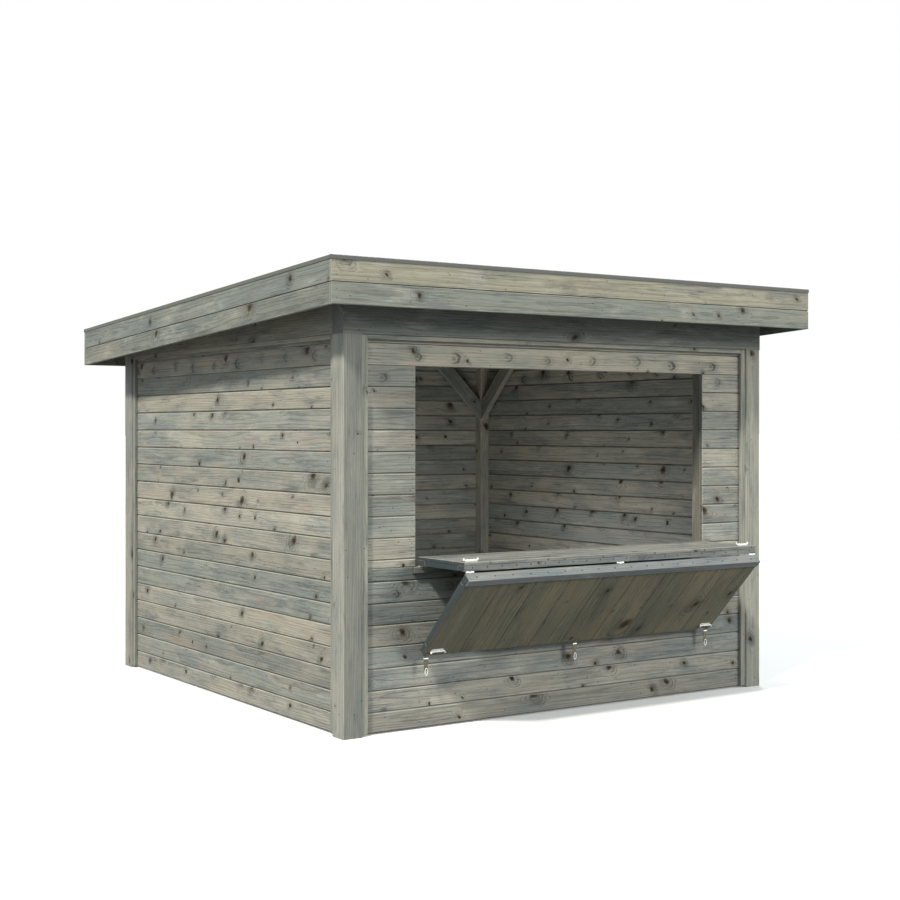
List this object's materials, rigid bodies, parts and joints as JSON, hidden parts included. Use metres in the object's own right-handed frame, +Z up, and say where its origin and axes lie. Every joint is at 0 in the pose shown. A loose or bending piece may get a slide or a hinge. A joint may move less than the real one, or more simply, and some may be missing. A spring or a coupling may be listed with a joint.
{
  "type": "wooden market stall",
  "caption": "Boarded timber market stall with a pent roof, corner posts and a wide serving opening whose counter and flap fold out in front.",
  "frame": {"origin": "centre of the plan box on the ground, under the post feet", "axes": "+X to the right along the front, +Y from the serving front to the back, +Z up"},
  "size_m": [3.416, 3.7452, 2.4917],
  "materials": {
    "timber": "weathered planed timber",
    "boards": "weathered sawn boards",
    "roof_timber": "sawn timber",
    "leaf_wood": "weathered boards",
    "roof_felt": "mineral felt",
    "roof_edge": "felt strip",
    "zinc": "bright zinc"
  },
  "bodies": {
    "stall": {"beam_front": "timber", "beam_left": "timber", "beam_rear": "timber", "beam_right": "timber", "braces_back": "timber", "braces_left": "timber", "braces_right": "timber", "counter_ledger": "boards", "fascia_front": "boards", "fascia_rear": "boards", "fascia_sides": "boards", "post_front_left": "timber", "post_front_right": "timber", "post_rear_left": "timber", "post_rear_right": "timber", "rafters": "roof_timber", "roof_cover": "roof_felt", "roof_deck": "roof_timber", "roof_edge_ends": "roof_edge", "roof_edge_sides": "roof_edge", "roof_rims": "roof_timber", "strips_back": "boards", "strips_front": "boards", "strips_left": "boards", "strips_right": "boards", "studs": "timber", "verge_rafters": "roof_timber", "wall_back": "boards", "wall_front_below": "boards", "wall_front_header": "boards", "wall_front_sides": "boards", "wall_hinges": "zinc", "wall_left": "boards", "wall_right": "boards"},
    "counter": {"counter_boards": "leaf_wood", "counter_bolts": "zinc", "counter_frame": "leaf_wood", "counter_hinges": "zinc", "fold_hinges": "zinc"},
    "flap": {"flap_batten": "leaf_wood", "flap_boards": "leaf_wood", "flap_bolts": "zinc", "flap_frame": "leaf_wood", "flap_hasps": "zinc", "flap_hinges": "zinc"}
  },
  "joints": [
    {"name": "counter_fold", "type": "hinge", "parent": "stall", "child": "counter", "pos_m": [0, -1.38436, 0.883], "axis": [-1, 0, 0], "range_deg": [0, 90]},
    {"name": "flap_fold", "type": "hinge", "parent": "counter", "child": "flap", "pos_m": [0, -1.83234, 0.88], "axis": [-1, 0, 0], "range_deg": [0, 134.08]}
  ]
}
